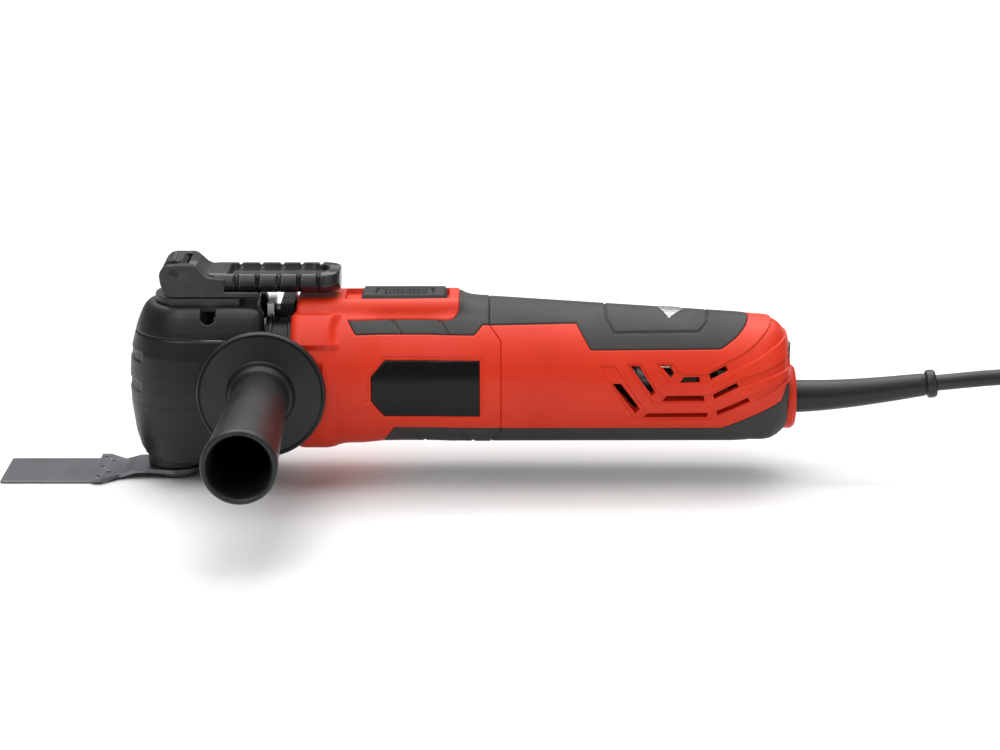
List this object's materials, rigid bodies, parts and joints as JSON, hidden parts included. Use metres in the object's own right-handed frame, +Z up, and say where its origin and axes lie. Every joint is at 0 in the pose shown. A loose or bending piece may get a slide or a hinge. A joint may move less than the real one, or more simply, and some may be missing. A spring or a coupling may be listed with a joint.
{
  "type": "oscillating multi tool",
  "caption": "Corded oscillating multi tool with a quick-clamp lever, side handle, slide switch, speed dial and an offset plunge saw blade.",
  "frame": {"origin": "centre of the clamp bolt's flat underside, on the output spindle's axis", "axes": "+X along the body from the spindle towards the cord, +Z up along the spindle towards the clamp lever, side handle fitted on the -Y side"},
  "size_m": [0.5569, 0.2306, 0.0978],
  "materials": {
    "cast_alloy": "cast satin",
    "black_plastic": "fine grained",
    "red_plastic": "fine grained",
    "grey_rubber": "matt",
    "gloss_black": "gloss",
    "lens": "clear gloss",
    "steel": "machined",
    "black_steel": "black oxide",
    "core_steel": "laminated",
    "copper": "enamelled copper",
    "brass": "plain",
    "carbon": "carbon",
    "circuit_board": "lacquered",
    "white_plastic": "plain",
    "black_rubber": "matt"
  },
  "bodies": {
    "housing": {"gear_housing": "cast_alloy", "head_cover": "black_plastic", "head_cap": "black_plastic", "cam_plate": "black_steel", "neck_ring": "black_plastic", "front_shell_left": "red_plastic", "front_shell_right": "red_plastic", "rear_shell_left": "red_plastic", "rear_shell_right": "red_plastic", "front_grips": "grey_rubber", "rear_grips": "grey_rubber", "front_pads": "grey_rubber", "rear_pads": "grey_rubber", "cord_collar": "red_plastic", "side_plates": "gloss_black", "indicator_lens": "lens", "shell_screws": "steel", "gear_screws": "steel", "stator": "core_steel", "field_coils": "copper", "motor_bearings": "steel", "spindle_bearings": "steel", "brush_holders": "brass", "brushes": "carbon", "brush_springs": "steel", "switch_module": "black_plastic", "speed_controller": "circuit_board", "cord_clamp": "black_plastic", "cord_boot": "black_rubber", "cord": "black_rubber", "cord_coil": "black_rubber", "cord_tie": "black_plastic", "plug": "black_rubber", "plug_pins": "steel"},
    "rotor": {"armature": "core_steel", "armature_windings": "copper", "motor_shaft": "steel", "commutator": "copper", "fan": "white_plastic", "eccentric": "steel", "eccentric_bearing": "steel"},
    "spindle": {"spindle": "steel", "drive_fork": "steel", "drive_flange": "black_steel"},
    "accessory": {"clamp_bolt": "black_steel", "saw_blade": "black_steel", "blade_holder": "black_steel"},
    "clamp_rod": {"clamp_rod": "steel", "clamp_barrel": "black_steel", "clamp_spring": "steel"},
    "lever": {"clamp_lever": "black_plastic", "lever_pin": "black_steel"},
    "handle_stud": {"handle_stud": "steel"},
    "side_handle": {"handle_grip": "black_plastic"},
    "switch": {"switch_button": "black_plastic", "switch_link": "white_plastic"},
    "speed_dial": {"speed_dial": "black_plastic"}
  },
  "joints": [
    {"name": "rotor_spin", "type": "hinge", "parent": "housing", "child": "rotor", "pos_m": [0.15, 0, 0.047], "axis": [1, 0, 0], "continuous": true},
    {"name": "spindle_oscillation", "type": "hinge", "parent": "housing", "child": "spindle", "pos_m": [0, 0, 0.047], "axis": [0, 0, 1], "range_deg": [-1.6, 1.6]},
    {"name": "accessory_release", "type": "slide", "parent": "spindle", "child": "accessory", "axis": [0, 0, -1], "range_m": [0, 0.03]},
    {"name": "clamp_rod_slide", "type": "slide", "parent": "housing", "child": "clamp_rod", "axis": [0, 0, -1], "range_m": [0, 0.002], "deforming": ["clamp_spring"]},
    {"name": "lever_pivot", "type": "hinge", "parent": "clamp_rod", "child": "lever", "pos_m": [0.0022, 0, 0.0924], "axis": [0, -1, 0], "range_deg": [0, 100]},
    {"name": "handle_thread", "type": "slide", "parent": "housing", "child": "handle_stud", "axis": [0, -1, 0], "range_m": [0, 0.015]},
    {"name": "handle_turn", "type": "hinge", "parent": "handle_stud", "child": "side_handle", "pos_m": [0.0404, -0.08, 0.0455], "axis": [0, -1, 0], "range_deg": [0, 4320]},
    {"name": "switch_slide", "type": "slide", "parent": "housing", "child": "switch", "axis": [-1, 0, 0], "range_m": [0, 0.0065]},
    {"name": "dial_turn", "type": "hinge", "parent": "housing", "child": "speed_dial", "pos_m": [0.2558, 0, 0.055], "axis": [0, 0, 1], "range_deg": [0, 270]}
  ],
  "couplings": [
    {"joint": "lever_pivot", "follows": "clamp_rod_slide", "rad_per_m": 872.66},
    {"joint": "handle_turn", "follows": "handle_thread", "rad_per_m": 5026.5}
  ]
}
